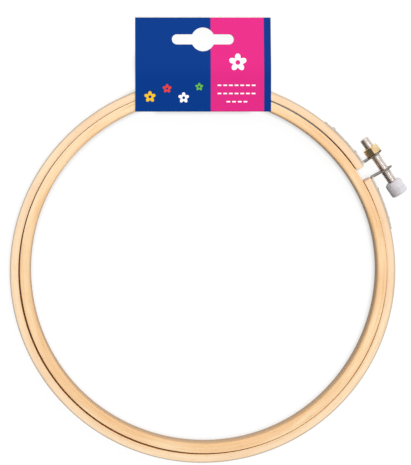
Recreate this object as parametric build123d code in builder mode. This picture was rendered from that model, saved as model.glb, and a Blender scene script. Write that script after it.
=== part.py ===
"""Embroidery hoop: two wooden hoops, a screw clamp and a folded header card.

Millimetres. The origin is the centre of the hoops at mid-height, +Z is their axis and +Y points
from the centre to the header card. Everything is symmetric above and below Z = 0 but the card's
flaps.
"""

from build123d import *
from math import asin, cos, degrees, radians, sin, sqrt, tan
import os

os.makedirs("parts", exist_ok=True)

# Hoops: the working diameter is where the fabric is gripped between them
working_diameter = 150.0
hoop_height = 9.0
inner_wall = 4.0
outer_wall = 3.4
hoop_gap = 0.4
edge_break = 0.3
end_round = 0.9

# Clamp, placed round the hoop by the angles of its two ears
nut_ear_angle = 34.3
screw_ear_angle = 29.3
nut_end_overhang = 0.95
screw_end_overhang = 0.15

# Steel strip of the lugs
strip_thickness = 0.55
strip_width = 6.8
strip_bend = 0.5
strip_corner = 1.6
leg_length = 22.8
lug_seat_gap = 0.04

# Tacks through the legs into the wood
tack_radius = 0.5
tack_head_radius = 1.2
tack_head_height = 0.5
tack_point = 0.8
tack_end_cover = 0.5
tack_fit = 0.03
tack_places = (5.4, 18.2)

# Screw, knob and nut
screw_reach = 6.3
screw_radius = 2.0
thread_length = 21.2
screw_chamfer = 0.45
ear_hole_clearance = 0.25
knob_standoff = 5.5
knob_radius = 3.6
knob_length = 6.1
knob_shoulder = 0.7
knob_round = 0.9
knob_socket = 4.2
knob_fit = 0.02
nut_flats = 6.3
nut_height = 3.4
nut_chamfer = 0.35
nut_running_clearance = 0.05
nut_seat_gap = 0.05

# Header card, folded over both hoops: it rises above the outer hoop and its flaps go down
# just inside the inner hoop
card_width = 54.9
card_rise = 25.4
card_drop = 5.2
card_thickness = 0.35
card_gap = 0.1
card_parting = 0.02
card_bend_clearance = 3.0
card_bend_radius = 30.0
crease_radius = 0.3
fold_clearance = 0.05
flap_width = 49.0
flap_end_width = 38.0
flap_corner = 3.0
flap_seat_gap = 0.05
tab_width = 30.0
tab_height = 4.6
tab_corner = 2.0

# Hanging slot through both leaves of the card, measured down from its fold
slot_drop = 9.3
slot_length = 25.2
slot_width = 4.1
slot_eye_radius = 4.8

# One overrun serves all cuts
overrun = 1.0

# Radii of the hoops, from the working diameter outwards and inwards
inner_outside = working_diameter / 2 - hoop_gap / 2
inner_inside = inner_outside - inner_wall
outer_inside = working_diameter / 2 + hoop_gap / 2
outer_outside = outer_inside + outer_wall

# Places on the clamp. The screw stands square to the nut ear and crosses the screw ear at a slant.
leg_inside = outer_outside + lug_seat_gap
leg_outside = leg_inside + strip_thickness
leg_sweep = degrees(leg_length / leg_inside)
screw_radial = outer_outside + screw_reach
ear_slant = nut_ear_angle - screw_ear_angle
screw_ear_radial = screw_radial / cos(radians(ear_slant))
ear_spacing = screw_radial * tan(radians(ear_slant))
knob_face = -(ear_spacing + strip_thickness / 2 + knob_standoff)
nut_face = strip_thickness / 2 + nut_seat_gap

# Places on the card, and its heights: its leaves lie just clear of the hoops
card_top = outer_outside + card_rise
card_bottom = inner_inside - card_drop
card_bend_place = outer_outside + card_bend_clearance
slot_place = card_top - slot_drop
leaf_inside = hoop_height / 2 + card_gap
leaf_outside = leaf_inside + card_thickness
fold_radius = card_thickness + card_parting
fold_place = card_top - fold_radius


def direction(angle):
    """Unit vector in the plane of the hoops, at an angle from +X."""
    return Vector(cos(radians(angle)), sin(radians(angle)), 0)


# The screw's own frame: origin on its axis in the nut ear, Z towards the screw's free end
screw_frame = Plane(
    origin=direction(nut_ear_angle) * screw_radial,
    x_dir=direction(nut_ear_angle),
    z_dir=direction(nut_ear_angle + 90),
)
screw_axis = Axis(screw_frame.origin, screw_frame.z_dir)
screw_side = Plane(screw_frame.origin, x_dir=screw_frame.x_dir, z_dir=(0, 0, 1))


# Inner hoop: a closed ring with its sharp edges broken
with BuildPart() as inner_ring:
    with BuildSketch(Plane.XY):
        Circle(inner_outside)
        Circle(inner_inside, mode=Mode.SUBTRACT)
    extrude(amount=hoop_height / 2, both=True)
    chamfer(inner_ring.edges().filter_by(GeomType.CIRCLE), length=edge_break)

inner_ring.part.label = "inner_ring"
export_step(inner_ring.part, "parts/inner_ring.step")


# Outer hoop: the same strip left open at the clamp, with rounded ends and holes for the tacks
nut_end_angle = nut_ear_angle - degrees(nut_end_overhang / outer_outside)
screw_end_angle = screw_ear_angle + degrees(screw_end_overhang / outer_outside)


def tack_angles(ear_angle, side):
    """Angles of a leg's tacks round the hoop."""
    return [ear_angle + side * degrees(place / leg_inside) for place in tack_places]


def radial_plane(angle, radius):
    """Plane on a cylinder about the hoop axis, its Z pointing outwards and its X along +Z."""
    return Plane(origin=direction(angle) * radius, x_dir=(0, 0, 1), z_dir=direction(angle))


all_tack_angles = tack_angles(nut_ear_angle, 1) + tack_angles(screw_ear_angle, -1)

with BuildPart() as outer_ring:
    with BuildSketch(Plane.XY):
        Circle(outer_outside)
        Circle(outer_inside, mode=Mode.SUBTRACT)
        with BuildLine():
            Polyline(
                (0, 0),
                direction(screw_end_angle) * (outer_outside + overrun),
                direction(nut_end_angle) * (outer_outside + overrun),
                close=True,
            )
        make_face(mode=Mode.SUBTRACT)
    extrude(amount=hoop_height / 2, both=True)
    fillet(outer_ring.edges().filter_by(Axis.Z), radius=end_round)
    chamfer(outer_ring.edges().filter_by(Axis.Z, reverse=True), length=edge_break)
    for tack_angle in all_tack_angles:
        with Locations(radial_plane(tack_angle, outer_outside)):
            Hole(radius=tack_radius + tack_fit, depth=outer_wall - tack_end_cover)

outer_ring.part.label = "outer_ring"
export_step(outer_ring.part, "parts/outer_ring.step")


# Lugs: a strip bent square, its leg curved to the hoop and its ear round about the screw hole
def make_lug(ear_angle, side, hole_radial):
    """One lug, whose leg runs round the hoop to the given side of its ear."""
    ear_end = hole_radial + strip_width / 2
    foot = sqrt(leg_inside**2 - (strip_thickness / 2) ** 2)
    inside_corner = sqrt(leg_outside**2 - (strip_thickness / 2) ** 2)
    foot_angle = degrees(asin(strip_thickness / 2 / leg_inside))
    corner_angle = degrees(asin(strip_thickness / 2 / leg_outside))
    lug_plane = Plane(origin=(0, 0, 0), x_dir=direction(ear_angle), z_dir=(0, 0, side))
    ear_normal = direction(ear_angle + 90)

    with BuildPart() as lug:
        with BuildSketch(lug_plane) as lug_section:
            with BuildLine():
                Polyline(
                    (foot, -strip_thickness / 2),
                    (ear_end, -strip_thickness / 2),
                    (ear_end, strip_thickness / 2),
                    (inside_corner, strip_thickness / 2),
                )
                outside = CenterArc((0, 0), leg_outside, corner_angle, leg_sweep - corner_angle)
                inside = CenterArc((0, 0), leg_inside, -foot_angle, leg_sweep + foot_angle)
                Line(outside @ 1, inside @ 1)
            make_face()
            fillet(
                lug_section.vertices().sort_by_distance((foot, -strip_thickness / 2))[0],
                radius=strip_bend + strip_thickness,
            )
            fillet(
                lug_section.vertices().sort_by_distance((inside_corner, strip_thickness / 2))[0],
                radius=strip_bend,
            )
        extrude(amount=strip_width / 2, both=True)

        # Round end of the ear, about the screw hole, and the leg's corners
        ear_plane = Plane(
            origin=direction(ear_angle) * hole_radial,
            x_dir=direction(ear_angle),
            z_dir=ear_normal,
        )
        with BuildSketch(ear_plane):
            Circle(strip_width / 2)
            with Locations((-hole_radial / 2, 0)):
                Rectangle(hole_radial, strip_width)
        extrude(amount=leg_length + strip_thickness, both=True, mode=Mode.INTERSECT)
        leg_end = direction(ear_angle + side * leg_sweep) * leg_inside
        leg_corners = lug.edges().filter_by(lambda edge: edge.length < 2 * strip_thickness)
        fillet(leg_corners.sort_by_distance(leg_end)[0:2], radius=strip_corner)

        # Screw hole and tack holes
        with BuildSketch(ear_plane):
            Circle(screw_radius + ear_hole_clearance)
        extrude(amount=strip_thickness, both=True, mode=Mode.SUBTRACT)
        for angle in tack_angles(ear_angle, side):
            with Locations(radial_plane(angle, leg_outside)):
                Hole(radius=tack_radius + tack_fit, depth=2 * strip_thickness)
    return lug.part


nut_lug = make_lug(nut_ear_angle, 1, screw_radial)
nut_lug.label = "nut_lug"
export_step(nut_lug, "parts/nut_lug.step")

screw_lug = make_lug(screw_ear_angle, -1, screw_ear_radial)
screw_lug.label = "screw_lug"
export_step(screw_lug, "parts/screw_lug.step")


# Tacks: a domed head on a pointed shank, driven through the leg into the wood
tack_length = leg_outside - outer_outside + outer_wall - tack_end_cover - 2 * tack_fit

with BuildPart() as tack:
    with BuildSketch(Plane.XZ):
        with BuildLine():
            Polyline(
                (0, tack_head_height),
                (0, -tack_length),
                (tack_radius, tack_point - tack_length),
                (tack_radius, 0),
                (tack_head_radius, 0),
            )
            dome_radius = (tack_head_radius**2 + tack_head_height**2) / (2 * tack_head_height)
            RadiusArc((tack_head_radius, 0), (0, tack_head_height), -dome_radius)
        make_face()
    revolve(axis=Axis.Z)


def drive_tacks(angles):
    """A lug's tacks, each with its head on the leg."""
    with BuildPart() as tacks:
        with Locations(*[radial_plane(angle, leg_outside) for angle in angles]):
            add(tack.part)
    return tacks.part


nut_lug_tacks = drive_tacks(tack_angles(nut_ear_angle, 1))
nut_lug_tacks.label = "nut_lug_tacks"
export_step(nut_lug_tacks, "parts/nut_lug_tacks.step")

screw_lug_tacks = drive_tacks(tack_angles(screw_ear_angle, -1))
screw_lug_tacks.label = "screw_lug_tacks"
export_step(screw_lug_tacks, "parts/screw_lug_tacks.step")


# Clamp screw: from the bottom of the knob's socket to its chamfered free end
with BuildPart() as clamp_screw:
    with BuildSketch(screw_frame.offset(knob_face - knob_socket)):
        Circle(screw_radius)
    extrude(amount=knob_socket + thread_length)
    screw_ends = clamp_screw.edges().filter_by(GeomType.CIRCLE).sort_by(screw_axis)
    chamfer(screw_ends[-1], length=screw_chamfer)

clamp_screw.part.label = "clamp_screw"
export_step(clamp_screw.part, "parts/clamp_screw.step")


# Thumb knob: a turned cylinder with a shoulder towards the thread and a rounded outer end
with BuildPart() as thumb_knob:
    with BuildSketch(screw_side) as knob_half:
        with BuildLine():
            socket_radius = screw_radius + knob_fit
            socket_depth = knob_socket + 2 * knob_fit
            knob_end = knob_face - knob_length
            Polyline(
                (0, knob_face - socket_depth),
                (socket_radius, knob_face - socket_depth),
                (socket_radius, knob_face),
                (knob_radius - knob_shoulder, knob_face),
                (knob_radius, knob_face - knob_shoulder),
                (knob_radius, knob_end),
                (0, knob_end),
                close=True,
            )
        make_face()
        fillet(
            knob_half.vertices().sort_by_distance((knob_radius, knob_end))[0],
            radius=knob_round,
        )
    revolve(axis=screw_axis)

thumb_knob.part.label = "thumb_knob"
export_step(thumb_knob.part, "parts/thumb_knob.step")


# Nut: hexagon with chamfered corners, one corner up, against the outside of the nut ear
nut_plane = screw_frame.offset(nut_face)
nut_corner = nut_flats / sqrt(3)

with BuildPart() as clamp_nut:
    with BuildSketch(nut_plane):
        RegularPolygon(radius=nut_corner, side_count=6, rotation=90)
    extrude(amount=nut_height)
    with BuildSketch(screw_side):
        with BuildLine():
            Polyline(
                (0, nut_face),
                (nut_corner - 2 * nut_chamfer, nut_face),
                (nut_corner, nut_face + nut_chamfer),
                (nut_corner, nut_face + nut_height - nut_chamfer),
                (nut_corner - 2 * nut_chamfer, nut_face + nut_height),
                (0, nut_face + nut_height),
                close=True,
            )
        make_face()
    revolve(axis=screw_axis, mode=Mode.INTERSECT)
    with Locations(nut_plane):
        Hole(radius=screw_radius + nut_running_clearance)

clamp_nut.part.label = "clamp_nut"
export_step(clamp_nut.part, "parts/clamp_nut.step")


# Header card: both leaves follow one bent line, mirrored above and below the hoops
def leaf_section(line_end, upward):
    """Closed outline of a leaf seen from the side, from its lower edge to the fold."""
    side = 1 if upward else -1
    inner_line = FilletPolyline(
        (line_end, side * leaf_inside),
        (card_bend_place, side * leaf_inside),
        (fold_place, side * card_parting),
        radius=card_bend_radius,
    )
    offset(inner_line, amount=card_thickness, side=Side.LEFT if upward else Side.RIGHT)


# Hanging slot with a round eye, cut straight through both leaves
with BuildSketch(Plane.XY) as hanging_slot:
    with Locations((0, slot_place)):
        SlotOverall(slot_length, slot_width)
        Circle(slot_eye_radius)

slot_cut = leaf_outside + overrun
side_plane = Plane.YZ
flap_inside = card_bottom + card_thickness

# Back leaf: it carries the fold and the tab that stands up behind the front flap
tab_face = flap_inside + flap_seat_gap

with BuildPart() as header_card_back:
    with BuildSketch(side_plane):
        with BuildLine():
            leaf_section(tab_face, upward=False)
        make_face()
        with Locations((fold_place, 0)):
            Circle(fold_radius)
    extrude(amount=card_width / 2, both=True)
    with BuildSketch(Plane.XZ.offset(-tab_face)) as tab_outline:
        with Locations((0, (tab_height - 2 * leaf_outside) / 2)):
            Rectangle(tab_width, tab_height)
        fillet(tab_outline.vertices().group_by(Axis.Z)[-1], radius=tab_corner)
    extrude(amount=-card_thickness)
    cross_edges = header_card_back.edges().filter_by(Axis.X)
    tab_crease = cross_edges.sort_by_distance((0, tab_face, -leaf_outside))[0]
    fillet(tab_crease, radius=crease_radius)
    extrude(hanging_slot.sketch, amount=slot_cut, both=True, mode=Mode.SUBTRACT)

header_card_back.part.label = "header_card_back"
export_step(header_card_back.part, "parts/header_card_back.step")

# Front leaf: its flap goes down inside the hoops, narrower at its end to pass the inner hoop
with BuildPart() as header_card_front:
    with BuildSketch(side_plane):
        with BuildLine():
            leaf_section(card_bottom, upward=True)
        make_face()
    extrude(amount=card_width / 2, both=True)
    with BuildSketch(Plane.XZ.offset(-card_bottom)) as flap_face:
        with BuildLine():
            Polyline(
                (-flap_width / 2, leaf_inside),
                (-flap_end_width / 2, -leaf_outside),
                (flap_end_width / 2, -leaf_outside),
                (flap_width / 2, leaf_inside),
                close=True,
            )
        make_face()
        fillet(flap_face.vertices().group_by(Axis.Z)[0], radius=flap_corner)
    extrude(amount=-card_thickness)
    cross_edges = header_card_front.edges().filter_by(Axis.X)
    flap_crease = cross_edges.sort_by_distance((0, card_bottom, leaf_outside))[0]
    fillet(flap_crease, radius=crease_radius)
    extrude(hanging_slot.sketch, amount=slot_cut, both=True, mode=Mode.SUBTRACT)
    with BuildSketch(side_plane):
        with Locations((fold_place, 0)):
            Circle(fold_radius + fold_clearance)
    extrude(amount=card_width / 2, both=True, mode=Mode.SUBTRACT)

header_card_front.part.label = "header_card_front"
export_step(header_card_front.part, "parts/header_card_front.step")
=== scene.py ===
"""Embroidery hoop, 15 cm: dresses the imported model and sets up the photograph's view.

Every piece is in metres and in the CAD's frame: the origin is the centre of the hoops at mid-height,
+Z is their axis and +Y points to the header card. Where a field names no unit, a length is in
millimetres and an angle in degrees, round the hoop from +X. Both are scaled as they are used.
"""

import logging
import math
from collections.abc import Callable, Mapping, Sequence
from dataclasses import dataclass
from enum import Enum, IntEnum
from functools import partial

import bmesh
import bpy
from bpy.types import ID, Material, Mesh, Node, NodeSocket, NodeTree, Object
from mathutils import Matrix, Vector

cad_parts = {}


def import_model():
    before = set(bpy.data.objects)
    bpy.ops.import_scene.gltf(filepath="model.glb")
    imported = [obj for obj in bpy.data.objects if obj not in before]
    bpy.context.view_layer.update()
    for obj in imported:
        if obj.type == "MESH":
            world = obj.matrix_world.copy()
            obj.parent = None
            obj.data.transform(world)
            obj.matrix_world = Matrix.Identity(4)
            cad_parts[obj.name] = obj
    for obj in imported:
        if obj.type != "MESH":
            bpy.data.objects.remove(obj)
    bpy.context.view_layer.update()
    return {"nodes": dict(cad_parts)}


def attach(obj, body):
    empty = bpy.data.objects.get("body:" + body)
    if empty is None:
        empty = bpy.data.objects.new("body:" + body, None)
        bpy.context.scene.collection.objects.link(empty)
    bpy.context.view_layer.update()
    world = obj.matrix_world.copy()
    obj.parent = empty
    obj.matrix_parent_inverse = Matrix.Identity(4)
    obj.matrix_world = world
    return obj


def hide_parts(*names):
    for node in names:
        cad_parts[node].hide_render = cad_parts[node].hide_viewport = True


log = logging.getLogger("embroidery_hoop")

Adder = Callable[..., Node]  # add_node with its tree given
Point = tuple[float, float]  # X and Y, or radius and height

MM = 0.001
WELD = 0.002  # points of a finished mesh nearer to each other than this are one
BLANK_WELD = 0.001  # the same for a flat blank
SNAP = 0.00001  # points nearer than this to a cut lie on it
NOISE_LOW = 0.3  # nearly every value of a noise lies between these two
NOISE_HIGH = 0.7

# The kinds of node that are used most, and the setting that a word after some of them gives
MATH = "ShaderNodeMath"
VECTOR = "ShaderNodeVectorMath"
RANGE = "ShaderNodeMapRange"
MIX = "ShaderNodeMix"
NOISE = "ShaderNodeTexNoise"
APART = "ShaderNodeSeparateXYZ"
JOINED = "ShaderNodeCombineXYZ"
MOVED = "GeometryNodeSetPosition"
WORD_SETS = {MATH: "operation", VECTOR: "operation", RANGE: "interpolation_type", MIX: "data_type"}


class HoopKind(Enum):
    """The two hoops: the outer one is split, and the inner one is closed."""

    OUTER = "outer"
    INNER = "inner"


class LeafSide(Enum):
    """Which way a leaf of the card turns its printed face, along Z."""

    FRONT = 1
    BACK = -1


class LegRun(Enum):
    """Which way round the hoop a lug's leg runs from its ear."""

    ONWARD = 1
    BACK = -1


class StripPart(IntEnum):
    """Surfaces of a lug's strip, in the order of its materials."""

    FACE = 0
    LEG_EDGE = 1
    EAR_EDGE = 2


def linear(code: str) -> tuple[float, float, float, float]:
    """Turns a colour into Blender's linear one.

    Args:
        code: sRGB hex, such as "#f8dbb7".

    Returns:
        Linear red, green, blue and an alpha of 1.
    """
    parts = [int(code[i : i + 2], 16) / 255 for i in (1, 3, 5)]
    red, green, blue = (p / 12.92 if p <= 0.04045 else ((p + 0.055) / 1.055) ** 2.4 for p in parts)
    return (red, green, blue, 1.0)


def direction(degrees: float) -> Vector:
    """Unit vector in the plane of the hoops, at an angle from +X."""
    return Vector((math.cos(math.radians(degrees)), math.sin(math.radians(degrees)), 0.0))


def frame_at(place: Vector, x: Vector, z: Vector) -> Matrix:
    """Frame at a place, from the directions of its X and Z."""
    return Matrix.Translation(place) @ Matrix((x, z.cross(x), z)).transposed().to_4x4()


def add_node(tree: NodeTree, kind: str, *values: object, **settings: object) -> Node:
    """Adds a node to a tree.

    Args:
        tree: The tree that gets the node.
        kind: The node's type name.
        *values: A word for the setting in WORD_SETS, if the kind has one, and what the inputs in use
            take, in their order, or by name from a dictionary. Each is a plain value, an output, or
            a node, which stands for its first output in use.
        **settings: The node's own properties.

    Returns:
        The new node.
    """
    node = tree.nodes.new(kind)
    if values and isinstance(values[0], str):
        settings[WORD_SETS[kind]], *values = values
    for name, setting in settings.items():
        setattr(node, name, setting)
    in_order = iter([socket for socket in node.inputs if socket.enabled])
    pairs = []
    for value in values:
        if isinstance(value, dict):
            pairs += [(node.inputs[name], named) for name, named in value.items()]
        else:
            pairs.append((next(in_order), value))
    for socket, value in pairs:
        if isinstance(value, Node):
            value = next(output for output in value.outputs if output.enabled)
        if isinstance(value, NodeSocket):
            tree.links.new(value, socket)
        else:
            socket.default_value = value
    return node


def heading(add: Adder, angle: Node) -> Node:
    """Adds the nodes that turn an angle into a direction away from the Z axis."""
    return add(JOINED, add(MATH, "COSINE", angle), add(MATH, "SINE", angle))


def around(add: Adder, spot: Node) -> tuple[Node, Node, Node, NodeSocket]:
    """Adds the nodes that read how a place lies round the Z axis.

    Args:
        add: Adds a node to the tree.
        spot: The place.

    Returns:
        The direction from the axis to it, its distance from the axis, its angle and its height.
    """
    apart = add(APART, spot).outputs
    flat = add(VECTOR, "MULTIPLY", spot, (1.0, 1.0, 0.0))
    angle = add(MATH, "ARCTAN2", apart["Y"], apart["X"])
    return add(VECTOR, "NORMALIZE", flat), add(VECTOR, "LENGTH", flat), angle, apart["Z"]


def new_material(name: str) -> tuple[Material, Adder]:
    """Makes an empty material.

    Args:
        name: Its name.

    Returns:
        The material, and what adds a node to it.
    """
    material = bpy.data.materials.new(name)
    material.use_nodes = True
    material.node_tree.nodes.clear()
    return material, partial(add_node, material.node_tree)


def new_object(name: str, data: ID) -> Object:
    """Makes an object and links it to the scene.

    Args:
        name: Its name.
        data: Its mesh, curve, lamp or camera.

    Returns:
        The object.
    """
    made = bpy.data.objects.new(name, data)
    bpy.context.scene.collection.objects.link(made)
    return made


def solid_mesh(holder: Object) -> Mesh:
    """Makes a plain mesh of an object and its modifiers, and removes the object with them.

    Args:
        holder: The object.

    Returns:
        The mesh.
    """
    bpy.context.view_layer.update()
    evaluated = holder.evaluated_get(bpy.context.evaluated_depsgraph_get())
    mesh = bpy.data.meshes.new_from_object(evaluated)
    bpy.data.objects.remove(holder)
    return mesh


class ShapeTree:
    """A geometry tree with named inputs, which is run once to make a plain mesh."""

    def __init__(self, name: str, values: Mapping[str, object], start: Mesh | None = None) -> None:
        """Makes the tree and its inputs.

        Args:
            name: Its name.
            values: What each named input gets, in metres and radians. Material dresses the shape.
            start: The mesh that goes in, as the input Shape, if there is one.
        """
        self.tree = bpy.data.node_groups.new(name, "GeometryNodeTree")
        self.start = start or bpy.data.meshes.new("start")
        sockets = self.tree.interface
        if start:
            sockets.new_socket("Shape", in_out="INPUT", socket_type="NodeSocketGeometry")
        self.values = {}
        for label, value in values.items():
            # Int, Float, Material or Object: a socket's kind is named after the type of its value
            kind = "NodeSocket" + type(value).__name__.capitalize()
            given = sockets.new_socket(label, in_out="INPUT", socket_type=kind)
            self.values[given.identifier] = value
        sockets.new_socket("Shape", in_out="OUTPUT", socket_type="NodeSocketGeometry")
        self.add = partial(add_node, self.tree)
        self.take = self.add("NodeGroupInput").outputs

    def grow(self, shape: Node) -> Mesh:
        """Ends the tree, its instances made real and dressed, and runs it.

        Args:
            shape: The node that gives the geometry.

        Returns:
            The finished mesh.
        """
        real = self.add("GeometryNodeRealizeInstances", shape)
        dressed = self.add("GeometryNodeSetMaterial", real, {"Material": self.take["Material"]})
        self.add("NodeGroupOutput", dressed)
        holder = new_object("holder", self.start)
        modifier = holder.modifiers.new("shape", "NODES")
        modifier.node_group = self.tree
        for identifier, value in self.values.items():
            modifier[identifier] = value
        return solid_mesh(holder)


def tidy(mesh: Mesh, crease: float, even: bool = False) -> Mesh:
    """Closes a mesh, turns its faces outwards and smooths it up to an angle.

    Args:
        mesh: The mesh to change.
        crease: Edges sharper than this stay sharp.
        even: Whether large faces set the normals, so that flats stay flat beside rounded edges.

    Returns:
        The mesh, or its finished copy.
    """
    work = bmesh.new()
    work.from_mesh(mesh)
    bmesh.ops.remove_doubles(work, verts=work.verts, dist=WELD * MM)
    bmesh.ops.recalc_face_normals(work, faces=work.faces)
    work.to_mesh(mesh)
    work.free()
    mesh.shade_smooth()
    mesh.set_sharp_from_angle(angle=math.radians(crease))
    if not even:
        return mesh
    holder = new_object("holder", mesh)
    holder.modifiers.new("flats", "WEIGHTED_NORMAL").keep_sharp = True
    return solid_mesh(holder)


def skin(rows: Sequence[Sequence[Vector]]) -> Mesh:
    """Joins rows of points that stand round an axis, the last row to the first.

    Args:
        rows: The rows, in millimetres.

    Returns:
        The mesh, in metres.
    """
    size = len(rows[0])
    faces = []
    for step in range(len(rows)):
        here, there = step * size, (step + 1) % len(rows) * size
        faces += [(here + i, there + i, there + i + 1, here + i + 1) for i in range(size - 1)]
    mesh = bpy.data.meshes.new("skin")
    mesh.from_pydata([point for row in rows for point in row], [], faces)
    mesh.transform(Matrix.Scale(MM, 4))
    return mesh


def lathe(profile: Sequence[Point], segments: int) -> Mesh:
    """Turns a profile about Z.

    Args:
        profile: Radius and height of each point, from one end of the axis to the other.
        segments: Divisions round the axis.

    Returns:
        The turned mesh, in metres.
    """
    turns = [direction(360.0 * step / segments) for step in range(segments)]
    return skin([[turn * radius + Vector((0, 0, height)) for radius, height in profile] for turn in turns])


def arc(centre: Point, radius: float, start: float, end: float, steps: int) -> list[Point]:
    """Points on an arc.

    Args:
        centre: The arc's centre.
        radius: Its radius.
        start: Its first angle.
        end: Its last angle.
        steps: Divisions of the arc.

    Returns:
        The points, both ends included.
    """
    turns = [math.radians(start + (end - start) * i / steps) for i in range(steps + 1)]
    return [(centre[0] + radius * math.cos(t), centre[1] + radius * math.sin(t)) for t in turns]


def place(name: str, mesh: Mesh, body: str, slot: str, node: str) -> None:
    """Hands a finished piece to the frame.

    Args:
        name: The piece's name.
        mesh: Its mesh, in metres and in place.
        body: The CAD body that it rides on.
        slot: Not used.
        node: The CAD node that it stands for.
    """
    mesh.name = name
    piece = new_object(name, mesh)
    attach(piece, body)
    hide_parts(node)
    log.info("%s rides on %s, %d faces", name, body, len(mesh.polygons))


# Finishes


@dataclass(frozen=True, kw_only=True)
class Finish:
    """What all finishes have: a gloss and a relief that follow one fine pattern."""

    name: str
    roughness: float
    spread: float = 0.06  # how far the roughness strays
    relief: float
    relief_strength: float = 0.5
    metallic: float = 0.0
    specular: float = 0.5

    def dress(self, add: Adder, colour: Node, pattern: Node, gloss: Node | None = None) -> None:
        """Ends the material with its shader.

        Args:
            add: Adds a node to it.
            colour: Its colour.
            pattern: The noise that its relief follows.
            gloss: Its roughness, where that doesn't follow the pattern too.
        """
        limits = (NOISE_LOW, NOISE_HIGH, self.roughness - self.spread, self.roughness + self.spread)
        relief = {"Height": pattern, "Strength": self.relief_strength, "Distance": self.relief * MM}
        surface = {
            "Base Color": colour,
            "Metallic": self.metallic,
            "Roughness": gloss or add(RANGE, pattern, *limits),
            "Normal": add("ShaderNodeBump", relief),
            "Specular IOR Level": self.specular,
        }
        add("ShaderNodeOutputMaterial", add("ShaderNodeBsdfPrincipled", surface))


@dataclass(frozen=True)
class Grain:
    """One scale of the wood's pattern: a noise drawn out along the strip."""

    width: float
    length: float
    detail: float  # octaves of the noise
    low: float  # value of the noise where it starts to show
    high: float  # value of the noise where it is full
    share: float = 1.0  # how much it then covers

    @property
    def cover(self) -> tuple[float, float, float, float]:
        """The limits between which the noise becomes its cover."""
        return (self.low, self.high, 0.0, self.share)


@dataclass(frozen=True, kw_only=True)
class SandedBamboo(Finish):
    """Bamboo strip, bent and sanded, without varnish.

    To the eye it is pale and matt, with long fine fibres along the strip, slow patches of a warmer
    tone and dark specks of cut pores. Its greyer edges are painted shade: along both outside edges of
    the outer hoop, partly wear too, and down the inner hoop's inside wall towards the table.
    """

    pale: str
    warm: str
    fibre: str
    # edge is the colour of the pore specks and of the painted shade along the edges
    edge: str
    kind: HoopKind
    warm_side: float  # where round the hoop its tone is warmest
    soiled_height: float
    bared_width: float  # along the inside edge, where sanding reached browner fibres
    bared_share: float
    soiled_width: float = 0.8
    soiled_margin: float = 0.1  # it is full this far before the edge
    soiled_share: float = 0.75
    warm_share: float = 0.1  # what the warm side adds to the patches
    patch: Grain = Grain(4.0, 30.0, 1.0, 0.35, 0.65)
    bundle: Grain = Grain(0.45, 16.0, 3.0, 0.48, 0.72, 0.75)
    pore: Grain = Grain(0.16, 2.5, 1.0, 0.62, 0.72, 0.35)  # real ones, 0.05 wide, wouldn't show
    noise_roughness: float = 0.55
    roughness: float = 0.63
    spread: float = 0.07
    relief: float = 0.03
    relief_strength: float = 0.35
    specular: float = 0.35  # less than the plain 0.5, because open fibres scatter the light

    def material(self, radius: float, wall: float, height: float) -> Material:
        """Builds the material from Object coordinates alone, so that its fibres follow the hoop.

        Args:
            radius: Distance from the axis to the middle of the strip's wall.
            wall: The strip's thickness.
            height: The strip's height.

        Returns:
            The material.
        """
        material, add = new_material(self.name)
        spot = add(VECTOR, "SCALE", add("ShaderNodeTexCoord").outputs["Object"], 1 / MM)
        turn, distance, _, up = around(add, spot)
        across = add(MATH, "SUBTRACT", distance, radius)
        noises = []
        for grain in (self.patch, self.bundle, self.pore):
            # Two of the noise's four axes go round the hoop in lengths, and two across it in widths
            along = add(VECTOR, "SCALE", turn, radius / grain.length)
            thick, tall = (add(MATH, "DIVIDE", way, grain.width) for way in (across, up))
            where = add(VECTOR, "ADD", along, add(JOINED, {"Z": thick}))
            look = {"W": tall, "Scale": 1.0, "Detail": grain.detail, "Roughness": self.noise_roughness}
            noises.append(add(NOISE, where, look, noise_dimensions="4D"))
        patches, bundles, pores = noises

        lean = add(VECTOR, "DOT_PRODUCT", turn, direction(self.warm_side))
        drift = add(MATH, "MULTIPLY_ADD", lean, self.warm_share, patches)
        warmth = add(RANGE, "SMOOTHSTEP", drift, *self.patch.cover)
        streak = add(RANGE, "SMOOTHSTEP", bundles, *self.bundle.cover)
        speck = add(RANGE, pores, *self.pore.cover)
        inward, down = (add(MATH, "MULTIPLY", way, -1.0) for way in (across, up))
        bared = add(RANGE, inward, wall / 2 - self.bared_width, wall / 2, 0.0, self.bared_share)
        # Painted shade: the outer hoop greys along both outside edges, partly wear too, and the inner one
        # down its inside wall towards the lower edge, where shade falls near the table
        outer = self.kind is HoopKind.OUTER
        ways = (across, add(MATH, "ABSOLUTE", up)) if outer else (inward, down)
        limits = ((wall / 2, self.soiled_width), (height / 2, self.soiled_height))
        near = [
            add(RANGE, "SMOOTHSTEP", way, half - reach, half - self.soiled_margin)
            for way, (half, reach) in zip(ways, limits)
        ]
        # how strongly the painted shade greys each point
        painted_shade = add(MATH, "MULTIPLY", add(MATH, "MULTIPLY", *near), self.soiled_share)
        colour = add(MIX, "RGBA", warmth, linear(self.pale), linear(self.warm))
        # the pores and the painted shade both take the edge colour
        layers = ((streak, self.fibre), (bared, self.fibre), (speck, self.edge), (painted_shade, self.edge))
        for cover, tone in layers:
            colour = add(MIX, "RGBA", cover, colour, linear(tone))
        self.dress(add, colour, bundles)
        return material


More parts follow.
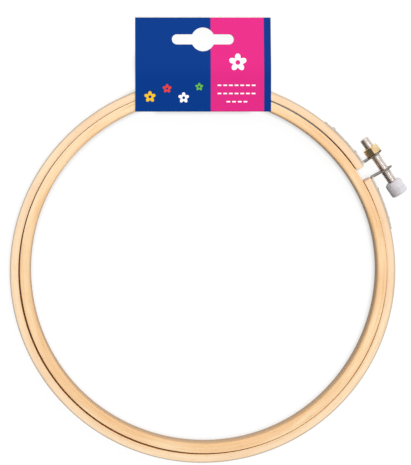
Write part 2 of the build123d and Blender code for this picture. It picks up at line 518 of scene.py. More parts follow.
@dataclass(frozen=True, kw_only=True)
class WorkedMetal(Finish):
    """Metal, bare or plated, with the marks that its making left along one direction.

    Real tool marks, 0.01 to 0.05 wide, wouldn't show, so they are drawn up to ten times as coarse.
    """

    colour: str
    stain: str
    marks: tuple[float, float]  # their width and length
    turned: Matrix = Matrix.Identity(4)  # they run along its Z
    stain_share: float = 0.5
    stain_size: float = 2.0  # a patch of tarnish
    stain_low: float = 0.4  # value of the noise where it starts to show
    stain_high: float = 0.75
    metallic: float = 1.0
    relief: float = 0.004

    def material(self) -> Material:
        """Builds the material.

        Returns:
            Metal with fine marks, patchy tarnish and uneven gloss.
        """
        material, add = new_material(self.name)
        local = self.turned.inverted()
        spot = add("ShaderNodeTexCoord").outputs["Object"]
        framed = add("ShaderNodeMapping", spot, local.to_translation(), local.to_euler())
        width, length = self.marks
        stretch = [1 / (size * MM) for size in (width, width, length)]
        drawn = add(VECTOR, "MULTIPLY", framed, stretch)
        marks = add(NOISE, drawn, {"Scale": 1.0, "Detail": 2.0})
        patches = add(NOISE, framed, {"Scale": 1 / (self.stain_size * MM), "Detail": 3.0})
        cover = add(RANGE, patches, self.stain_low, self.stain_high, 0.0, self.stain_share)
        self.dress(add, add(MIX, "RGBA", cover, linear(self.colour), linear(self.stain)), marks)
        return material


@dataclass(frozen=True)
class Bloom:
    """A printed flower with an open middle."""

    x: float
    y: float
    reach: float  # from its middle to a petal's tip
    colour: str
    petals: int = 5
    eye_share: float = 0.27  # of its reach

    def mask(self, add: Adder, at: Mapping[str, NodeSocket]) -> Node:
        """Draws it.

        Args:
            add: Adds a node to the material.
            at: The place's X and Y, in millimetres.

        Returns:
            1 on the flower and 0 elsewhere.
        """
        right, high = add(MATH, "SUBTRACT", at["X"], self.x), add(MATH, "SUBTRACT", at["Y"], self.y)
        away = add(VECTOR, "LENGTH", add(JOINED, right, high))
        turns = add(MATH, "MULTIPLY", add(MATH, "ARCTAN2", right, high), self.petals / 2)
        lobe = add(MATH, "ABSOLUTE", add(MATH, "COSINE", turns))
        rim = add(MATH, "MULTIPLY_ADD", lobe, self.reach / 2, self.reach / 2)
        outside_eye = add(MATH, "GREATER_THAN", away, self.reach * self.eye_share)
        return add(MATH, "MULTIPLY", add(MATH, "LESS_THAN", away, rim), outside_eye)


@dataclass(frozen=True)
class Seam:
    """A printed line of running stitch."""

    start: float
    end: float
    y: float
    colour: str = "#ffffff"
    stitch: float = 1.5
    gap: float = 0.8
    width: float = 0.55

    def mask(self, add: Adder, at: Mapping[str, NodeSocket]) -> Node:
        """Draws it.

        Args:
            add: Adds a node to the material.
            at: The place's X and Y, in millimetres.

        Returns:
            1 on the stitches and 0 elsewhere.
        """
        run = add(MATH, "SUBTRACT", at["X"], self.start)
        part = add(MATH, "FLOORED_MODULO", run, self.stitch + self.gap)
        off = add(MATH, "ABSOLUTE", add(MATH, "SUBTRACT", at["Y"], self.y))
        drawn = add(MATH, "GREATER_THAN", run, 0.0)
        for value, limit in ((run, self.end - self.start), (part, self.stitch), (off, self.width / 2)):
            drawn = add(MATH, "MULTIPLY", drawn, add(MATH, "LESS_THAN", value, limit))
        return drawn


@dataclass(frozen=True, kw_only=True)
class PrintedBoard(Finish):
    """Folding boxboard, printed and lacquered outside, bare inside and at its cut edges.

    To the eye it has flat strong inks with a low sheen and a faint mottle, and a dull greyish white
    where it is bare.
    """

    side: LeafSide
    field: str = "#003786"
    panel: str = "#df2a83"
    bare: str = "#e9e6df"
    panel_from: float = 3.07
    panel_to: float = 24.6
    figures: tuple[Bloom | Seam, ...] = (
        Bloom(-21.5, 71.6, 2.3, "#f6c51f"),
        Bloom(-14.6, 74.9, 1.8, "#e9402f"),
        Bloom(-7.9, 71.2, 2.2, "#ffffff"),
        Bloom(-1.6, 75.6, 1.6, "#67b83a"),
        Bloom(14.0, 85.4, 3.6, "#ffffff"),
        Seam(5.8, 21.5, 76.2),
        Seam(5.8, 21.5, 72.9),
        Seam(9.4, 18.4, 69.6),
    )
    flap_place: float = 66.5  # the flaps are nearer the centre than this
    facing: float = 0.5  # the least share of a normal that counts as turned that way
    fibre: float = 0.25  # paper fibres, 0.03 wide in truth, which wouldn't show
    mottle: float = 0.04  # how far the colour strays
    bare_roughness: float = 0.85
    roughness: float = 0.5
    relief: float = 0.01
    relief_strength: float = 0.2
    specular: float = 0.05  # a thin matt lacquer

    def material(self) -> Material:
        """Builds the material.

        Returns:
            Card with its printed areas, from Object coordinates and the object's own normal.
        """
        material, add = new_material(self.name)
        own = add("ShaderNodeTexCoord").outputs
        spot = add(VECTOR, "SCALE", own["Object"], 1 / MM)
        at = add(APART, spot).outputs
        normal = add(APART, own["Normal"]).outputs

        # Printed faces: the leaf's outside, and the side of the flap that looks to the centre
        outside = add(MATH, "MULTIPLY", normal["Z"], float(self.side.value))
        inward = add(MATH, "LESS_THAN", normal["Y"], -self.facing)
        on_flap = add(MATH, "MULTIPLY", inward, add(MATH, "LESS_THAN", at["Y"], self.flap_place))
        inked = add(MATH, "MAXIMUM", add(MATH, "GREATER_THAN", outside, self.facing), on_flap)

        from_panel = add(MATH, "GREATER_THAN", at["X"], self.panel_from)
        in_panel = add(MATH, "MULTIPLY", from_panel, add(MATH, "LESS_THAN", at["X"], self.panel_to))
        ink = add(MIX, "RGBA", in_panel, linear(self.field), linear(self.panel))
        for figure in self.figures:
            ink = add(MIX, "RGBA", figure.mask(add, at), ink, linear(figure.colour))
        laid = add(MIX, "RGBA", inked, linear(self.bare), ink)
        fibres = add(NOISE, spot, {"Scale": 1 / self.fibre, "Detail": 3.0})
        mottled = add(RANGE, fibres, NOISE_LOW, NOISE_HIGH, 1 - self.mottle, 1 + self.mottle)
        gloss = add(RANGE, inked, 0.0, 1.0, self.bare_roughness, self.roughness)
        self.dress(add, add(VECTOR, "SCALE", laid, mottled), fibres, gloss)
        return material


# Sub-assemblies


@dataclass(frozen=True)
class Wave:
    """One way in which a hoop is out of round."""

    lobes: int
    size: float
    crest: float  # where round the hoop it stands furthest out


@dataclass
class Hoop:
    """One wooden hoop: a strip with rounded edges, swept round the centre."""

    kind: HoopKind
    inside: float
    outside: float
    finish: SandedBamboo
    height: float = 9.0
    edge_round: float = 0.22
    inside_round: float = 0.22  # the edges towards the centre
    end_round: float = 0.6
    round_steps: int = 5
    start: float = 0.0
    sweep: float = 360.0
    waves: tuple[Wave, ...] = ()
    stations: int = 320

    def path(self, shape: ShapeTree) -> Node:
        """Adds the strip's path. On a split hoop its stations crowd towards the two ends.

        Args:
            shape: The strip's tree.

        Returns:
            The path curve.
        """
        add, take = shape.add, shape.take
        if self.kind is HoopKind.INNER:
            return add("GeometryNodeCurvePrimitiveCircle", take["Stations"], take["Radius"])
        line = add("GeometryNodeCurvePrimitiveLine", {"End": (1.0, 0.0, 0.0)})
        divided = add("GeometryNodeResampleCurve", line, {"Count": take["Stations"]}, mode="COUNT")
        half_turn = add(MATH, "MULTIPLY", add("GeometryNodeSplineParameter"), math.pi)
        crowded = add(MATH, "MULTIPLY_ADD", add(MATH, "COSINE", half_turn), -0.5, 0.5)
        angle = add(MATH, "MULTIPLY_ADD", crowded, take["Sweep"], take["Start"])
        spot = add(VECTOR, "SCALE", heading(add, angle), take["Radius"])
        return add(MOVED, divided, {"Position": spot})

    def shift(self, shape: ShapeTree) -> Node:
        """Works out how the strip's points move: out of round, or in to round a split hoop's ends.

        Args:
            shape: The strip's tree.

        Returns:
            The offset.
        """
        add, take = shape.add, shape.take
        outward, reach, angle, up = around(add, add("GeometryNodeInputPosition"))
        if self.kind is HoopKind.INNER:
            total: Node | float = 0.0
            for wave in self.waves:
                label = f"Wave {wave.lobes}"
                off = add(MATH, "SUBTRACT", angle, take[label + " Crest"])
                height = add(MATH, "COSINE", add(MATH, "MULTIPLY", off, float(wave.lobes)))
                total = add(MATH, "MULTIPLY_ADD", height, take[label], total)
            return add(VECTOR, "SCALE", outward, total)
        passed = add(MATH, "FLOORED_MODULO", add(MATH, "SUBTRACT", angle, take["Start"]), 2 * math.pi)
        nearest = add(MATH, "MINIMUM", passed, add(MATH, "SUBTRACT", take["Sweep"], passed))
        distance = add(MATH, "MULTIPLY", nearest, take["Radius"])
        across = add(MATH, "SUBTRACT", reach, take["Radius"])
        moves = []
        for size, offset, whole, way in (
            (take["End Round"], across, take["Wall"], outward),
            (take["Edge Round"], up, take["Height"], add(JOINED, {"Z": 1.0})),
        ):
            # The outline there is a quarter circle of this size, and the inside follows by its share
            depth = add(MATH, "SUBTRACT", 1.0, add(MATH, "DIVIDE", distance, size), use_clamp=True)
            rest = add(MATH, "SUBTRACT", 1.0, add(MATH, "MULTIPLY", depth, depth))
            short = add(MATH, "SUBTRACT", add(MATH, "SQRT", rest), 1.0)
            share = add(MATH, "MULTIPLY", add(MATH, "DIVIDE", offset, whole), 2.0)
            pull = add(MATH, "MULTIPLY", add(MATH, "MULTIPLY", short, size), share)
            moves.append(add(VECTOR, "SCALE", way, pull))
        return add(VECTOR, "ADD", *moves)

    def build(self) -> None:
        """Sweeps the strip, settles its points and hands the hoop to the frame."""
        radius, wall = (self.inside + self.outside) / 2, self.outside - self.inside
        values = {
            "Radius": radius * MM,
            "Wall": wall * MM,
            "Height": self.height * MM,
            "Edge Round": self.edge_round * MM,
            "Inside Round": self.inside_round * MM,
            "End Round": self.end_round * MM,
            "Start": math.radians(self.start),
            "Sweep": math.radians(self.sweep),
            "Stations": self.stations,
            "Material": self.finish.material(radius, wall, self.height),
        }
        for wave in self.waves:
            values[f"Wave {wave.lobes}"] = wave.size * MM
            values[f"Wave {wave.lobes} Crest"] = math.radians(wave.crest)
        shape = ShapeTree(self.kind.value + "_hoop_shape", values)
        add, take = shape.add, shape.take
        upright = add("GeometryNodeSetCurveNormal", self.path(shape), mode="Z_UP")
        section = add("GeometryNodeCurvePrimitiveQuadrilateral", take["Wall"], take["Height"])
        # The section's corners lie half a wall to each side, the ones towards the centre at negative X
        corner = add(APART, add("GeometryNodeInputPosition")).outputs["X"]
        rounds = (take["Inside Round"], take["Edge Round"])
        rounding = add(RANGE, corner, -wall / 4 * MM, wall / 4 * MM, *rounds)
        edges = {"Radius": rounding, "Count": self.round_steps}
        eased = add("GeometryNodeFilletCurve", section, edges, mode="POLY")
        capped = {"Fill Caps": self.kind is HoopKind.OUTER}
        strip = add("GeometryNodeCurveToMesh", upright, eased, capped)
        mesh = shape.grow(add(MOVED, strip, {"Offset": self.shift(shape)}))
        name = self.kind.value
        done = tidy(mesh, crease=60, even=True)
        place(name + "_hoop_strip", done, name + "_hoop", name + "_wood", name + "_ring")


@dataclass(frozen=True)
class LugPlace:
    """Where a lug stands."""

    node: str
    ear: float  # angle of its ear
    run: LegRun
    hole: float  # distance from the hoops' centre to its screw hole


@dataclass
class Clamp:
    """The screw clamp: two bent lugs with their tacks, the screw, its knob and the nut."""

    hoop_outside: float = 78.6
    nut_ear: float = 34.3
    screw_ear: float = 29.3
    nut_end: float = 0.95  # how far the wood runs past this ear, into the split
    screw_end: float = 0.15
    strip: float = 0.55
    strip_width: float = 6.8
    strip_bend: float = 0.5
    strip_corner: float = 1.6
    stamped_edge: float = 0.07
    bend_steps: int = 10
    leg_step: float = 0.8
    leg_margin: float = 0.1  # it isn't scored nearer to its end
    face_normal: float = 0.9  # the least share of a normal that counts as the strip's face
    leg_length: float = 22.8
    seat_gap: float = 0.04
    screw_reach: float = 6.3
    screw_radius: float = 2.0
    ear_hole: float = 2.25
    thread_pitch: float = 0.7  # M4
    thread_depth: float = 0.32
    thread_crest: float = 0.12  # half of its flat, as a share of the pitch
    thread_root: float = 0.08
    thread_length: float = 21.2
    thread_rows: int = 14  # in one pitch
    thread_columns: int = 41
    screw_chamfer: float = 0.45
    knob_standoff: float = 5.5
    knob_radius: float = 3.6
    knob_length: float = 6.1
    knob_shoulder: float = 0.7
    knob_round: float = 0.9
    knob_socket: float = 4.2
    knob_gap: float = 0.02  # between screw and bore
    knob_floor: float = 0.04  # below the screw's end
    knob_countersink: float = 0.2
    knob_dome: float = 0.03  # of the middle of its outer end
    knob_dome_ring: float = 0.4  # share of the radius where two thirds of it are reached
    knurl_count: int = 44
    knurl_facets: int = 6
    knurl_depth: float = 0.1
    knurl_run_out: float = 0.4
    nut_flats: float = 6.3
    nut_height: float = 3.4
    nut_chamfer: float = 0.35
    nut_countersink: float = 0.3
    nut_bore: float = 2.05
    nut_seat: float = 0.05
    tack_places: tuple[float, float] = (5.4, 18.2)
    tack_shank: float = 0.5
    tack_head: float = 1.2
    tack_dome: float = 0.5
    tack_depth: float = 3.4
    tack_point: float = 0.8

    @property
    def split(self) -> tuple[float, float]:
        """Where the outer hoop is open.

        Returns:
            The angles of the wood's two ends, the screw lug's first.
        """
        ends = (self.screw_end, self.nut_end)
        screw_run, nut_run = (math.degrees(end / self.hoop_outside) for end in ends)
        return self.screw_ear + screw_run, self.nut_ear - nut_run

    @property
    def slant(self) -> float:
        """Angle between the two ears, in radians."""
        return math.radians(self.nut_ear - self.screw_ear)

    @property
    def screw_radial(self) -> float:
        """Distance from the centre to the screw's axis, in the nut ear."""
        return self.hoop_outside + self.screw_reach

    @property
    def knob_face(self) -> float:
        """Place of the knob's face along the screw, from the nut ear."""
        return -(self.screw_radial * math.tan(self.slant) + self.strip / 2 + self.knob_standoff)

    @property
    def screw_frame(self) -> Matrix:
        """Frame of the screw, in metres: Z runs towards its free end."""
        radial = direction(self.nut_ear)
        return frame_at(radial * self.screw_radial * MM, radial, direction(self.nut_ear + 90))

    @property
    def leg_inside(self) -> float:
        """Radius of a leg's face on the wood."""
        return self.hoop_outside + self.seat_gap

    def blank(self, length: float) -> Mesh:
        """Makes the flat blank of a lug: X from the ear's round end to the leg's end, Y across.

        Args:
            length: Its length.

        Returns:
            The blank, in millimetres.
        """
        half, corner = self.strip_width / 2, self.strip_corner
        outline = (
            arc((half, 0), half, 90, 270, steps=32)
            + arc((length - corner, corner - half), corner, 270, 360, steps=10)
            + arc((length - corner, half - corner), corner, 0, 90, steps=10)
        )
        hole = arc((half, 0), self.ear_hole, 0, 360, steps=40)[:-1]
        curve = bpy.data.curves.new("blank", "CURVE")
        curve.dimensions = "2D"
        curve.fill_mode = "BOTH"
        curve.extrude = self.strip / 2 - self.stamped_edge
        curve.bevel_depth = self.stamped_edge
        curve.bevel_resolution = 2
        curve.offset = -self.stamped_edge
        for points in (outline, hole):
            spline = curve.splines.new("POLY")
            spline.points.add(len(points) - 1)
            spline.points.foreach_set("co", [c for x, y in points for c in (x, y, 0.0, 1.0)])
            spline.use_cyclic_u = True
        return solid_mesh(new_object("blank", curve))

    def lug(self, spot: LugPlace, finishes: Sequence[Material]) -> None:
        """Makes a lug: the blank is scored across and bent, square at the foot and round the hoop.

        Args:
            spot: Its place.
            finishes: Its materials, in the order of StripPart.
        """
        middle = self.leg_inside + self.strip / 2
        bend = self.strip_bend + self.strip / 2
        tilt = math.asin(bend / (middle + bend))
        foot = math.sqrt((middle + bend) ** 2 - bend**2)
        centre = Vector((foot, bend))
        tip = spot.hole + self.strip_width / 2
        straight = tip - centre.x
        curved = bend * (math.pi / 2 - tilt)
        length = tip - foot + curved + middle * (self.leg_length / self.leg_inside - tilt)
        mesh = self.blank(length)
        work = bmesh.new()
        work.from_mesh(mesh)
        bmesh.ops.remove_doubles(work, verts=work.verts, dist=BLANK_WELD)
        scores = [straight + curved * i / self.bend_steps for i in range(self.bend_steps + 1)]
        scores += [scores[-1] + self.leg_step * i for i in range(1, int(length / self.leg_step))]
        for score in (s for s in scores if s < length - self.leg_margin):
            parts = work.verts[:] + work.edges[:] + work.faces[:]
            plane = {"plane_co": (score, 0, 0), "plane_no": (1, 0, 0)}
            bmesh.ops.bisect_plane(work, geom=parts, dist=SNAP, **plane)
        work.normal_update()
        for facet in work.faces:
            edge = StripPart.EAR_EDGE if facet.calc_center_median().x < straight else StripPart.LEG_EDGE
            facet.material_index = StripPart.FACE if abs(facet.normal.z) > self.face_normal else edge
        radial, along = direction(spot.ear), direction(spot.ear + 90 * spot.run.value)
        for vert in work.verts:
            s, across, thick = vert.co
            if s <= straight:
                at = Vector((tip - s, thick))
            elif s <= straight + curved:
                turn = -math.pi / 2 - (s - straight) / bend
                at = centre + (bend - thick) * Vector((math.cos(turn), math.sin(turn)))
            else:
                turn = tilt + (s - straight - curved) / middle
                at = (middle + thick) * Vector((math.cos(turn), math.sin(turn)))
            vert.co = (radial * at.x + along * at.y + Vector((0, 0, across))) * MM
        mesh.materials.clear()
        for finish in finishes:
            mesh.materials.append(finish)
        work.to_mesh(mesh)
        work.free()
        place(spot.node + "_strip", tidy(mesh, crease=35), "outer_hoop", "lug_steel", spot.node)

    def tacks(self, spot: LugPlace, finish: Material) -> None:
        """Sets a lug's two tacks along its leg.

        Args:
            spot: The lug's place.
            finish: Their material.
        """
        dome = (self.tack_head**2 + self.tack_dome**2) / (2 * self.tack_dome)
        half_angle = math.degrees(math.asin(self.tack_head / dome))
        shank = [
            (0, -self.tack_depth),
            (self.tack_shank, self.tack_point - self.tack_depth),
            (self.tack_shank, 0),
        ]
        head = arc((0, self.tack_dome - dome), dome, 90 - half_angle, 90, steps=8)
        tack = new_object("tack", tidy(lathe(shank + head, segments=28), crease=40))
        first, last = (spot.run.value * reach / self.leg_inside for reach in self.tack_places)
        values = {
            "Tack": tack,
            "Count": len(self.tack_places),
            "Radius": (self.leg_inside + self.strip) * MM,
            "First Angle": math.radians(spot.ear) + first,
            "Angle Between": last - first,
            "Material": finish,
        }
        name = spot.node + "_tacks"
        shape = ShapeTree(name + "_row", values)
        add, take = shape.add, shape.take
        row = add("GeometryNodeMeshLine", take["Count"], mode="OFFSET")
        number = add("GeometryNodeInputIndex")
        angle = add(MATH, "MULTIPLY_ADD", number, take["Angle Between"], take["First Angle"])
        outward = heading(add, angle)
        along_leg = add(MOVED, row, {"Position": add(VECTOR, "SCALE", outward, take["Radius"])})
        facing = add("FunctionNodeAlignRotationToVector", {"Vector": outward}, axis="Z")
        one = add("GeometryNodeObjectInfo", take["Tack"]).outputs["Geometry"]
        driven = add("GeometryNodeInstanceOnPoints", along_leg, {"Instance": one, "Rotation": facing})
        mesh = shape.grow(driven)
        bpy.data.objects.remove(tack)
        place(name + "_domed", tidy(mesh, crease=40), "outer_hoop", "tack_steel", name)

    def screw(self) -> None:
        """Cuts the screw's thread, from the knob's socket to the chamfered free end."""
        # Rolled steel thread: burnished, so each crest draws a bright line
        finish = WorkedMetal(
            name="rolled_thread_steel", colour="#e6dfdb", stain="#b3a394", roughness=0.28,
            spread=0.07, marks=(0.3, 0.3), relief=0.003, turned=self.screw_frame,
        )
        length = self.knob_socket + self.thread_length
        values = {
            "Radius": self.screw_radius * MM,
            "Thread Depth": self.thread_depth * MM,
            "Crest": self.thread_crest,
            "Root": 0.5 - self.thread_root,
            "Pitch": self.thread_pitch * MM,
            "Length": length * MM,
            "End Radius": (self.screw_radius - self.screw_chamfer) * MM,
            "Rows": int(length / self.thread_pitch * self.thread_rows),
            "Columns": self.thread_columns,
            "Material": finish.material(),
        }
        shape = ShapeTree("rolled_thread", values)
        add, take = shape.add, shape.take
        # A sheet of side 1, centred: its X becomes a turn and its Y the length
        sheet = add("GeometryNodeMeshGrid", 1.0, 1.0, take["Columns"], take["Rows"])
        shifted = add(VECTOR, "ADD", add("GeometryNodeInputPosition"), (0.5, 0.5, 0.0))
        share = add(APART, shifted).outputs
        height = add(MATH, "MULTIPLY", share["Y"], take["Length"])
        phase = add(MATH, "SUBTRACT", add(MATH, "DIVIDE", height, take["Pitch"]), share["X"])
        # From crest to root and back once a turn, with a flat at each as on a rolled thread
        flank = add(RANGE, add(MATH, "PINGPONG", phase, 0.5), take["Crest"], take["Root"])
        threaded = add(MATH, "SUBTRACT", take["Radius"], add(MATH, "MULTIPLY", flank, take["Thread Depth"]))
        # The free end is turned down at 45 degrees. The first and the last row close the ends, because
        # only they lie further than this share from the middle of the length
        cone = add(MATH, "ADD", take["End Radius"], add(MATH, "SUBTRACT", take["Length"], height))
        inner_share = 0.4999
        between = add(MATH, "COMPARE", share["Y"], 0.5, inner_share)
        radius = add(MATH, "MULTIPLY", add(MATH, "MINIMUM", threaded, cone), between)
        turn = heading(add, add(MATH, "MULTIPLY", share["X"], 2 * math.pi))
        ring = add(VECTOR, "SCALE", turn, radius)
        spot = add(VECTOR, "ADD", ring, add(JOINED, {"Z": height}))
        mesh = shape.grow(add(MOVED, sheet, {"Position": spot}))
        start = (self.knob_face - self.knob_socket) * MM
        mesh.transform(self.screw_frame @ Matrix.Translation((0, 0, start)))
        place("threaded_screw", tidy(mesh, crease=50), "thumb_screw", "screw_steel", "clamp_screw")

    def knob(self) -> None:
        """Turns the thumb knob and knurls its barrel."""
        # Satin-turned aluminium: almost white, with no clear reflection and rings round its axis
        finish = WorkedMetal(
            name="satin_turned_aluminium", colour="#e8e5e7", stain="#d9d8e2", roughness=0.85,
            spread=0.08, marks=(2.0, 0.12), turned=self.screw_frame, stain_share=0.6,
        )
        barrel, outer_end = -self.knob_shoulder, -self.knob_length
        bore, floor = self.screw_radius + self.knob_gap, -self.knob_socket - self.knob_floor
        centre = (self.knob_radius - self.knob_round, outer_end + self.knob_round)
        steps = 10
        rounded = arc(centre, self.knob_round, 0, -90, steps)
        span = rounded[0][1] - barrel
        profile = [
            (0, floor),
            (bore, floor),
            (bore, -self.knob_countersink),
            (bore + self.knob_countersink, 0),
            (self.knob_radius - self.knob_shoulder, 0),
            *((self.knob_radius, barrel + span * i / steps) for i in range(steps)),
            *rounded,
            (self.knob_radius * self.knob_dome_ring, outer_end + self.knob_dome * 2 / 3),
            (0, outer_end + self.knob_dome),
        ]
        values = {
            "Knurls": self.knurl_count,
            "Knurl Depth": self.knurl_depth * MM,
            "From": rounded[0][1] * MM,
            "To": barrel * MM,
            "Run-out": self.knurl_run_out * MM,
            "Material": finish.material(),
        }
        turned = lathe(profile, segments=self.knurl_count * self.knurl_facets)
        shape = ShapeTree("straight_knurl", values, start=turned)
        add, take = shape.add, shape.take
        outward, _, angle, up = around(add, add("GeometryNodeInputPosition"))
        wave = add(MATH, "COSINE", add(MATH, "MULTIPLY", angle, take["Knurls"]))
        groove = add(MATH, "MULTIPLY_ADD", wave, 0.5, -0.5)
        rise = add(RANGE, up, take["From"], add(MATH, "ADD", take["From"], take["Run-out"]))
        fall = add(RANGE, up, take["To"], add(MATH, "SUBTRACT", take["To"], take["Run-out"]))
        cut = add(MATH, "MULTIPLY", groove, add(MATH, "MULTIPLY", rise, fall))
        shift = add(VECTOR, "SCALE", outward, add(MATH, "MULTIPLY", cut, take["Knurl Depth"]))
        mesh = shape.grow(add(MOVED, take["Shape"], {"Offset": shift}))
        mesh.transform(self.screw_frame @ Matrix.Translation((0, 0, self.knob_face * MM)))
        place("knurled_knob", tidy(mesh, crease=35), "thumb_screw", "knob_metal", "thumb_knob")

    def nut(self) -> None:
        """Makes the hexagon nut: flats all round, its corners turned off at both faces."""
        # Milled brass: yellow and glossy, its flats marked along the screw and stained orange
        finish = WorkedMetal(
            name="milled_brass", colour="#f8dfb0", stain="#cf8d44", roughness=0.24,
            marks=(0.15, 2.0), turned=self.screw_frame,
        )
        apothem, corner = self.nut_flats / 2, self.nut_flats / math.sqrt(3)
        land = corner - 2 * self.nut_chamfer
        low = self.strip / 2 + self.nut_seat
        high = low + self.nut_height
        bore, sink = self.nut_bore, self.nut_countersink
        steps = 96
        rows = []
        for degrees in (360.0 * step / steps for step in range(steps)):
            from_flat = (degrees + 30) % 60 - 30
            reach = apothem / math.cos(math.radians(from_flat))
            drop = max(0.0, (reach - land) / 2)
            upper = [(bore, high - sink), (bore + sink, high), (land, high), (reach, high - drop)]
            lower = [(reach, low + drop), (land, low), (bore + sink, low), (bore, low + sink)]
            section = upper + lower + upper[:1]
            rows.append([direction(degrees) * r + Vector((0, 0, z)) for r, z in section])
        mesh = skin(rows)
        mesh.transform(self.screw_frame)
        mesh.materials.append(finish.material())
        place("hexagon_nut", tidy(mesh, crease=20), "nut", "nut_brass", "clamp_nut")

    def build(self) -> None:
        """Makes every piece of the clamp."""
        quarter_turn = Matrix.Rotation(math.pi / 2, 4, "X")
        along_leg = Matrix.Rotation(math.radians(self.nut_ear), 4, "Z") @ quarter_turn
        # Cold-rolled steel, with streaks along the strip, its colour painted dark and soft: painted shade
        # for the shaded table that its faces mirror
        face = WorkedMetal(
            name="rolled_steel_strip_painted_shade", colour="#554e49", stain="#362c26", roughness=0.34,
            marks=(0.12, 3.0), turned=along_leg,
        )
        # Sheared steel: bright and fine-grained, with no direction, because the cut is fresh metal
        leg_edge = WorkedMetal(
            name="sheared_steel_edge", colour="#d9d5cd", stain="#94897a", roughness=0.3,
            marks=(0.1, 0.1), relief=0.003,
        )
        # The same steel on the ears, painted darker and browner in patches: painted shade for the shaded
        # table that their sides mirror
        ear_edge = WorkedMetal(
            name="ear_steel_edge_painted_shade", colour="#94887c", stain="#4a3a2c", roughness=0.3,
            marks=(0.1, 0.1), relief=0.003, stain_share=0.8,
        )
        # Zinc-plated steel, struck to a dome: mid grey, with a soft spot of light and an even grain
        tack = WorkedMetal(
            name="plated_tack_steel", colour="#aaa49f", stain="#6f645c", roughness=0.32,
            marks=(0.2, 0.2),
        )
        steels = [finish.material() for finish in (face, leg_edge, ear_edge)]
        plated = tack.material()
        spots = (
            LugPlace("nut_lug", self.nut_ear, LegRun.ONWARD, self.screw_radial),
            LugPlace("screw_lug", self.screw_ear, LegRun.BACK, self.screw_radial / math.cos(self.slant)),
        )
        for spot in spots:
            self.lug(spot, steels)
        for spot in spots:
            self.tacks(spot, plated)
        self.screw()
        self.knob()
        self.nut()


@dataclass
class HeaderCard:
    """The folded card: two CAD leaves, printed outside."""

    nodes: Mapping[str, Object]

    def build(self) -> None:
        """Prints both leaves."""
        for side in LeafSide:
            name = "header_card_" + side.name.lower()
            leaf = self.nodes[name]
            leaf.data.materials.clear()
            leaf.data.materials.append(PrintedBoard(name=name + "_board", side=side).material())
            log.info("%s printed", name)


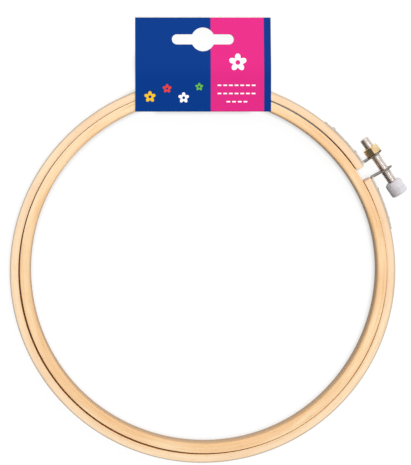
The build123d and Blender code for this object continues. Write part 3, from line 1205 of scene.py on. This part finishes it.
@dataclass
class Studio:
    """White table, soft light from the clamp's side, and the photograph's camera."""

    floor_height: float = -4.96  # just under the card's back leaf
    floor_size: float = 3.0  # m
    floor_glow: float = 1.045  # a little over white, for what the real light leaves out
    floor_glow_share: float = 0.9
    floor_roughness: float = 0.9
    floor_seen: str = "#fafafa"
    floor_thrown: str = "#909090"
    shade_reach: float = 2.0
    sky_dim: float = 0.1
    sky_bright: float = 0.95
    sky_dim_to: float = -0.75  # how far towards its bright side the sky is dim, -1 to 1
    sky_bright_from: float = -0.1
    sky_angle: float = 34.0  # the sky's bright side
    lamp_power: float = 5.6  # W
    lamp_size: float = 0.7  # m
    lamp_angle: float = 75.0
    lamp_distance: float = 0.75  # m
    lamp_height: float = 0.85  # m
    camera_place: tuple[float, float, float] = (-22.0, 82.0, 742.5)
    camera_aim: tuple[float, float, float] = (0.92, 16.52, 4.5)
    frame_width: float = 36.0
    lens: float = 141.1
    camera_near: float = 0.01  # m

    def floor(self) -> None:
        """Lays the table: matt, and lifted to plain white where it is seen or mirrored."""
        half, height = self.floor_size / 2, self.floor_height * MM
        corners = [(x * half, y * half, height) for x, y in ((-1, -1), (1, -1), (1, 1), (-1, 1))]
        mesh = bpy.data.meshes.new("table")
        mesh.from_pydata(corners, [], [(0, 1, 2, 3)])
        material, add = new_material("white_table")
        ray = add("ShaderNodeLightPath").outputs
        seen = add(MATH, "MAXIMUM", ray["Is Camera Ray"], ray["Is Glossy Ray"])
        shown = add(MATH, "MAXIMUM", seen, ray["Is Transmission Ray"])
        # What it throws back on the wood is a pale grey's light
        paint = add(MIX, "RGBA", shown, linear(self.floor_thrown), linear(self.floor_seen))
        matt = add("ShaderNodeBsdfPrincipled", {"Base Color": paint, "Roughness": self.floor_roughness})
        glow = add("ShaderNodeEmission", linear("#ffffff"), self.floor_glow)
        # Close to the wood, and in the groove between the hoops, only the real light counts
        open_sky = add("ShaderNodeAmbientOcclusion", {"Distance": self.shade_reach * MM}, samples=8)
        free = add(MATH, "MULTIPLY", open_sky.outputs["AO"], self.floor_glow_share)
        share = add(MATH, "MULTIPLY", shown, free)
        add("ShaderNodeOutputMaterial", add("ShaderNodeMixShader", share, matt, glow))
        mesh.materials.append(material)
        new_object("table", mesh)

    def light(self) -> None:
        """Sets the soft sky, brighter on the clamp's side, and one large soft lamp there."""
        world = bpy.data.worlds.new("soft_room")
        bpy.context.scene.world = world
        world.use_nodes = True
        world.node_tree.nodes.clear()
        add = partial(add_node, world.node_tree)
        look = add("ShaderNodeTexCoord").outputs["Generated"]
        lean = add(VECTOR, "DOT_PRODUCT", look, direction(self.sky_angle))
        limits = (self.sky_dim_to, self.sky_bright_from, self.sky_dim, self.sky_bright)
        strength = add(RANGE, "SMOOTHSTEP", lean, *limits)
        add("ShaderNodeOutputWorld", add("ShaderNodeBackground", linear("#ffffff"), strength))

        lamp = bpy.data.lights.new("softbox", "AREA")
        lamp.shape = "SQUARE"
        lamp.size = self.lamp_size
        lamp.energy = self.lamp_power
        box = new_object("softbox", lamp)
        box.location = direction(self.lamp_angle) * self.lamp_distance + Vector((0, 0, self.lamp_height))
        box.rotation_euler = (-Vector(box.location)).to_track_quat("-Z", "Y").to_euler()

    def camera(self) -> None:
        """Sets the camera over the table, with +Y up in the picture."""
        data = bpy.data.cameras.new("camera")
        data.sensor_width = self.frame_width
        data.lens = self.lens
        data.clip_start = self.camera_near
        camera = new_object("camera", data)
        eye, aim = Vector(self.camera_place) * MM, Vector(self.camera_aim) * MM
        back = (eye - aim).normalized()
        camera.matrix_world = frame_at(eye, Vector((0, 1, 0)).cross(back).normalized(), back)
        bpy.context.scene.camera = camera

    def build(self) -> None:
        """Sets up table, light, camera and the plain view transform."""
        self.floor()
        self.light()
        self.camera()
        bpy.context.scene.view_settings.view_transform = "Standard"


def main() -> None:
    """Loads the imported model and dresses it."""
    logging.basicConfig(level=logging.INFO, format="%(name)s: %(message)s")
    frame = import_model()
    Studio().build()
    clamp = Clamp()
    opens, closes = clamp.split
    # Each wood's edge colour serves its pore specks and its painted shade along the edges
    outer_wood = SandedBamboo(
        name="outer_sanded_bamboo", pale="#fee1bb", warm="#f9d7b3", fibre="#f0c590", edge="#a39a8d",
        kind=HoopKind.OUTER, warm_side=75.0, soiled_height=0.8, bared_width=1.0, bared_share=0.6,
    )
    # The inner hoop's painted shade greys most of its inside wall, darkest towards the table
    inner_wood = SandedBamboo(
        name="inner_sanded_bamboo", pale="#fddfb4", warm="#f8cd9c", fibre="#eab577", edge="#a38d78",
        kind=HoopKind.INNER, warm_side=290.0, soiled_height=12.0, bared_width=1.9, bared_share=0.5,
    )
    Hoop(
        HoopKind.OUTER, inside=75.2, outside=clamp.hoop_outside, finish=outer_wood,
        start=closes, sweep=360 - closes + opens,
    ).build()
    # The waves make the groove between the hoops as wide and as narrow as in the photograph
    Hoop(
        HoopKind.INNER, inside=70.8, outside=74.8, finish=inner_wood, inside_round=0.9,
        waves=(
            Wave(1, 0.21, 30.0),
            Wave(2, 0.215, 136.0),
            Wave(3, 0.085, 2.0),
            Wave(4, 0.085, 18.0),
            Wave(5, 0.08, 11.0),
        ),
    ).build()
    clamp.build()
    HeaderCard(frame["nodes"]).build()


if __name__ == "__main__":
    main()
